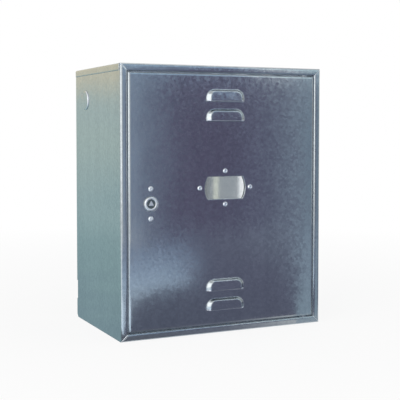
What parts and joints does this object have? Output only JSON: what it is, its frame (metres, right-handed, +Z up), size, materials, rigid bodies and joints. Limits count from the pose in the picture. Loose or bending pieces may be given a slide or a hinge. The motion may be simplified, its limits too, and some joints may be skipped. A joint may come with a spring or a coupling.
{
  "type": "gas meter box",
  "caption": "Galvanised sheet-steel wall box for a gas meter, with a mitred front frame, a hinged louvred door, a small window and a triangular-key lock.",
  "frame": {"origin": "centre of the wall-fixing hole pattern, on the outer face of the back", "axes": "+X to the right as seen from the front, +Y back into the wall, +Z up"},
  "size_m": [0.4044, 0.2558, 0.48],
  "materials": {
    "galvanised_sheet": "hot-dip galvanised, fine spangle, satin",
    "zinc_plated_steel": "bright zinc plating",
    "zinc_casting": "die-cast zinc, tumbled bright",
    "aluminium_rivet": "plain, drawn",
    "clear_plastic": "clear polished sheet"
  },
  "bodies": {
    "casing": {"casing_wrap": "galvanised_sheet", "top_panel": "galvanised_sheet", "top_lips": "galvanised_sheet", "bottom_panel": "galvanised_sheet", "bottom_lips": "galvanised_sheet", "upper_hinge_pin": "zinc_plated_steel", "lower_hinge_pin": "zinc_plated_steel", "upper_hinge_spacer": "zinc_plated_steel", "lower_hinge_spacer": "zinc_plated_steel"},
    "door": {"door_panel": "galvanised_sheet", "window_pane": "clear_plastic", "window_retainer": "galvanised_sheet", "window_rivets": "aluminium_rivet", "lock_body": "zinc_casting", "lock_rivets": "aluminium_rivet"},
    "lock": {"lock_rotor": "zinc_casting", "lock_cam": "zinc_plated_steel", "lock_washer": "zinc_plated_steel", "lock_screw": "zinc_plated_steel"}
  },
  "joints": [
    {"name": "door_hinge", "type": "hinge", "parent": "casing", "child": "door", "pos_m": [0.169, -0.2412, 0], "axis": [0, 0, 1], "range_deg": [0, 110]},
    {"name": "lock_turn", "type": "hinge", "parent": "door", "child": "lock", "pos_m": [-0.1445, -0.24, -0.0025], "axis": [0, 1, 0], "range_deg": [0, 90]}
  ]
}
